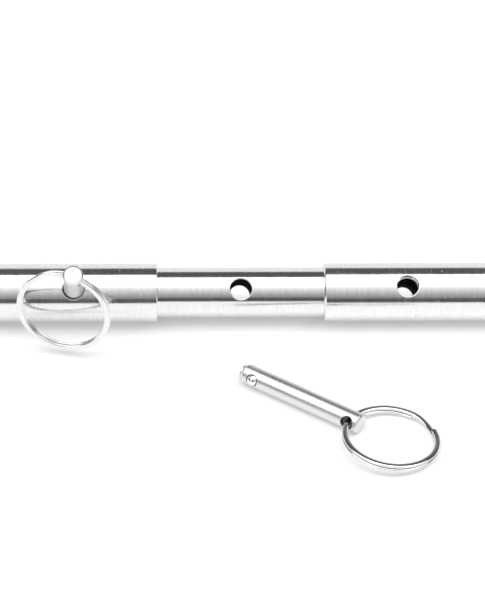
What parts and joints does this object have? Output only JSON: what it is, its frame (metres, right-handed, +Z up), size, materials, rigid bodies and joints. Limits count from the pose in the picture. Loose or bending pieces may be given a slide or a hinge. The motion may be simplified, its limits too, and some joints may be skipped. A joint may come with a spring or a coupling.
{
  "type": "telescopic spreader beam",
  "caption": "Polished steel telescopic spreader beam: tube sleeves sliding on a drilled core tube, ball-detent locking pins with split rings, swivel eyes and load rings at the ends.",
  "frame": {"origin": "centre of the middle cross hole of the core tube, on the bar's axis", "axes": "+X along the bar from the pinned sleeve to the free sleeve, +Z up, -Y towards the loose pin; the surface that the bar lies on is 11.1 mm below the origin"},
  "size_m": [0.7878, 0.1159, 0.0418],
  "materials": {
    "steel": "polished stainless, fine circumferential brush lines and light scratches",
    "dark_steel": "satin turned stainless",
    "pin_steel": "satin ground stainless",
    "ball_steel": "polished bearing steel",
    "spring_steel": "drawn spring wire",
    "ring_steel": "bright nickel-like spring steel"
  },
  "bodies": {
    "bar": {"core_tube": "steel", "left_sleeve": "steel", "left_plug": "dark_steel", "left_screw": "dark_steel", "left_washer": "steel"},
    "right_sleeve": {"right_sleeve": "steel", "right_plug": "dark_steel", "right_screw": "dark_steel", "right_washer": "steel"},
    "left_eye": {"left_eye": "steel", "left_nut": "dark_steel"},
    "right_eye": {"right_eye": "steel", "right_nut": "dark_steel"},
    "left_end_ring": {"left_end_ring": "steel"},
    "right_end_ring": {"right_end_ring": "steel"},
    "left_pin": {"left_pin": "pin_steel", "left_spring": "spring_steel"},
    "left_ball": {"left_ball": "ball_steel"},
    "left_split_ring": {"left_split_ring": "ring_steel"},
    "loose_pin": {"loose_pin": "pin_steel", "loose_spring": "spring_steel"},
    "loose_ball": {"loose_ball": "ball_steel"},
    "loose_split_ring": {"loose_split_ring": "ring_steel"}
  },
  "joints": [
    {"name": "right_sleeve_slide", "type": "slide", "parent": "bar", "child": "right_sleeve", "axis": [1, 0, 0], "range_m": [-0.062, 0.125]},
    {"name": "left_pin_pull", "type": "slide", "parent": "bar", "child": "left_pin", "axis": [0.0157, -0.6819, 0.7313], "range_m": [0, 0.06]},
    {"name": "left_ball_press", "type": "slide", "parent": "left_pin", "child": "left_ball", "axis": [0.9431, -0.2328, -0.2374], "range_m": [-0.00095, 0], "stiffness_N_per_m": 600},
    {"name": "left_split_ring_turn", "type": "hinge", "parent": "left_pin", "child": "left_split_ring", "pos_m": [-0.06196, -0.02346, 0.02516], "axis": [0.9431, -0.2328, -0.2374], "range_deg": [-270, 10]},
    {"name": "left_eye_swivel", "type": "hinge", "parent": "bar", "child": "left_eye", "pos_m": [-0.33125, 0, 0], "axis": [1, 0, 0], "continuous": true},
    {"name": "right_eye_swivel", "type": "hinge", "parent": "right_sleeve", "child": "right_eye", "pos_m": [0.33125, 0, 0], "axis": [1, 0, 0], "continuous": true},
    {"name": "left_end_ring_swing", "type": "hinge", "parent": "left_eye", "child": "left_end_ring", "pos_m": [-0.35115, 0, 0], "axis": [0, 1, 0], "range_deg": [-79, 100]},
    {"name": "right_end_ring_swing", "type": "hinge", "parent": "right_eye", "child": "right_end_ring", "pos_m": [0.35115, 0, 0], "axis": [0, -1, 0], "range_deg": [-79, 100]},
    {"name": "loose_pin_lift", "type": "slide", "parent": "bar", "child": "loose_pin", "axis": [0, 0, 1], "range_m": [0, 0.1]},
    {"name": "loose_ball_press", "type": "slide", "parent": "loose_pin", "child": "loose_ball", "axis": [-0.569, -0.786, 0.2419], "range_m": [-0.00095, 0], "stiffness_N_per_m": 600},
    {"name": "loose_split_ring_turn", "type": "hinge", "parent": "loose_pin", "child": "loose_split_ring", "pos_m": [0.03794, -0.06555, -0.00735], "axis": [-0.5488, -0.8323, 0.0785], "range_deg": [0, 160]}
  ]
}
